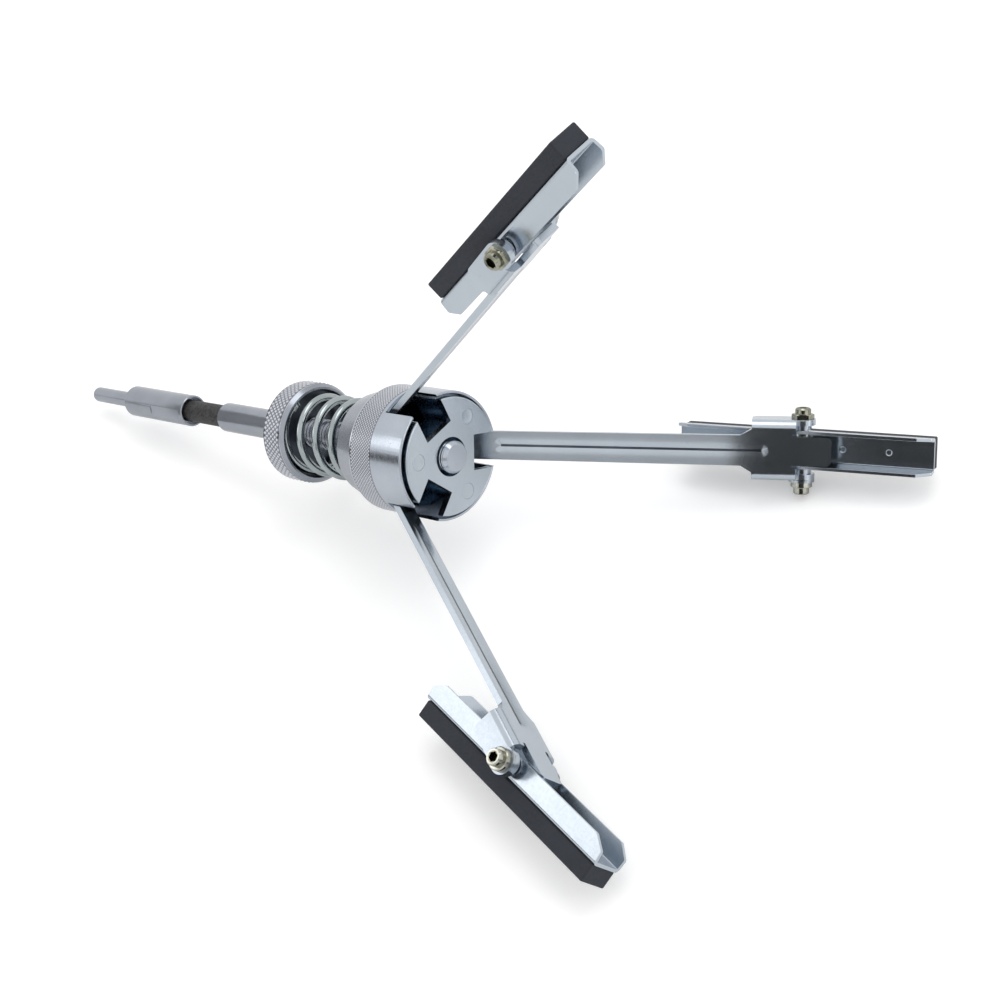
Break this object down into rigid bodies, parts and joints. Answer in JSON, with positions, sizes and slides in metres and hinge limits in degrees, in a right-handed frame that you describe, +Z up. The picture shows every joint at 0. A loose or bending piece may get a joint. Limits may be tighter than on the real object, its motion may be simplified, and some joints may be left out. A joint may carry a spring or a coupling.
{
  "type": "cylinder hone",
  "caption": "Three-legged cylinder hone with abrasive stones in pivoting channels on spring-loaded folding arms, a knurled tension nut and a flexible drive shank.",
  "frame": {"origin": "on the bench plane under the middle of the tool's bounding box, the tool lying on its shank tip and its two lower stones", "axes": "+X along the bench from the drill shank towards the stones, +Z up, +Y across; the spindle slopes up towards the stones in the XZ plane and one arm points up"},
  "size_m": [0.392, 0.233, 0.2127],
  "materials": {
    "zinc_steel": "bright zinc plating, bluish, near mirror",
    "zinc_spring": "bright zinc plated spring wire",
    "yellow_zinc": "faintly yellow zinc plating",
    "bright_screw": "bright plated screw steel",
    "blued_steel": "dark blued steel inside the hub",
    "cable_steel": "bare wound wire",
    "black_sleeve": "matt black sleeve",
    "abrasive_stone": "fine gritty charcoal abrasive"
  },
  "bodies": {
    "hub": {"main_shaft": "zinc_steel", "hub_cup": "zinc_steel", "hub_core": "blued_steel", "front_plate": "zinc_steel", "plate_posts": "zinc_steel", "arm_pins": "blued_steel", "drive_pin": "blued_steel", "compression_spring": "zinc_spring", "cable_sleeve": "black_sleeve"},
    "collar": {"thrust_collar": "blued_steel"},
    "arm_1": {"arm_1": "zinc_steel", "pivot_screw_1": "bright_screw", "pivot_nut_1": "yellow_zinc", "head_washer_1": "zinc_steel", "pivot_spacers_1": "zinc_steel"},
    "holder_1": {"stone_holder_1": "zinc_steel", "honing_stone_1": "abrasive_stone"},
    "arm_2": {"arm_2": "zinc_steel", "pivot_screw_2": "bright_screw", "pivot_nut_2": "yellow_zinc", "head_washer_2": "zinc_steel", "pivot_spacers_2": "zinc_steel"},
    "holder_2": {"stone_holder_2": "zinc_steel", "honing_stone_2": "abrasive_stone"},
    "arm_3": {"arm_3": "zinc_steel", "pivot_screw_3": "bright_screw", "pivot_nut_3": "yellow_zinc", "head_washer_3": "zinc_steel", "pivot_spacers_3": "zinc_steel"},
    "holder_3": {"stone_holder_3": "zinc_steel", "honing_stone_3": "abrasive_stone"},
    "spring_washer": {"spring_washer": "zinc_steel"},
    "nut": {"adjusting_nut": "zinc_steel"},
    "cable": {"cable_core": "cable_steel"},
    "drive_end": {"rear_ferrule": "zinc_steel", "drill_shank": "zinc_steel"}
  },
  "joints": [
    {"name": "arm_1_fold", "type": "hinge", "parent": "hub", "child": "arm_1", "pos_m": [0.01637, 0, 0.06375], "axis": [0, 1, 0], "range_deg": [0, 34], "stiffness_Nm_per_rad": 0.58, "springref_deg": -114.59, "deforming": ["compression_spring"]},
    {"name": "arm_2_fold", "type": "hinge", "parent": "hub", "child": "arm_2", "pos_m": [0.02076, -0.01446, 0.03909], "axis": [-0.1518, -0.5, 0.8526], "range_deg": [0, 34], "deforming": ["compression_spring"]},
    {"name": "arm_3_fold", "type": "hinge", "parent": "hub", "child": "arm_3", "pos_m": [0.02076, 0.01446, 0.03909], "axis": [0.1518, -0.5, -0.8526], "range_deg": [0, 34], "deforming": ["compression_spring"]},
    {"name": "collar_slide", "type": "slide", "parent": "hub", "child": "collar", "axis": [-0.9845, 0, -0.1752], "range_m": [0, 0.0042], "deforming": ["compression_spring"]},
    {"name": "holder_1_tilt", "type": "hinge", "parent": "arm_1", "child": "holder_1", "pos_m": [0.11971, 0, 0.17027], "axis": [0, -1, 0], "range_deg": [-33.2, 2.8]},
    {"name": "holder_2_tilt", "type": "hinge", "parent": "arm_2", "child": "holder_2", "pos_m": [0.14691, -0.0896, 0.01748], "axis": [0.1518, 0.5, -0.8526], "range_deg": [-19.6, 16.4]},
    {"name": "holder_3_tilt", "type": "hinge", "parent": "arm_3", "child": "holder_3", "pos_m": [0.14691, 0.0896, 0.01748], "axis": [-0.1518, 0.5, 0.8526], "range_deg": [-19.6, 16.4]},
    {"name": "washer_slide", "type": "slide", "parent": "hub", "child": "spring_washer", "axis": [0.9845, 0, 0.1752], "range_m": [-0.00391, 0.00782], "deforming": ["compression_spring"]},
    {"name": "nut_turn", "type": "hinge", "parent": "spring_washer", "child": "nut", "pos_m": [-0.04067, 0, 0.03664], "axis": [0.9845, 0, 0.1752], "range_deg": [-721, 1441], "deforming": ["compression_spring"]},
    {"name": "cable_bend_upright", "type": "hinge", "parent": "hub", "child": "cable", "pos_m": [-0.10481, 0, 0.02522], "axis": [0, -1, 0], "range_deg": [-15, 15], "stiffness_Nm_per_rad": 8, "deforming": ["cable_core", "cable_sleeve"]},
    {"name": "cable_bend_sideways", "type": "hinge", "parent": "cable", "child": "drive_end", "pos_m": [-0.10481, 0, 0.02522], "axis": [-0.1752, 0, 0.9845], "range_deg": [-15, 15], "stiffness_Nm_per_rad": 8, "deforming": ["cable_core", "cable_sleeve"]}
  ],
  "couplings": [
    {"joint": "arm_2_fold", "follows": "arm_1_fold", "ratio": 1},
    {"joint": "arm_3_fold", "follows": "arm_1_fold", "ratio": 1},
    {"joint": "collar_slide", "follows": "arm_1_fold", "m_per_rad": 0.0070675},
    {"joint": "nut_turn", "follows": "washer_slide", "rad_per_m": 3215.6}
  ]
}
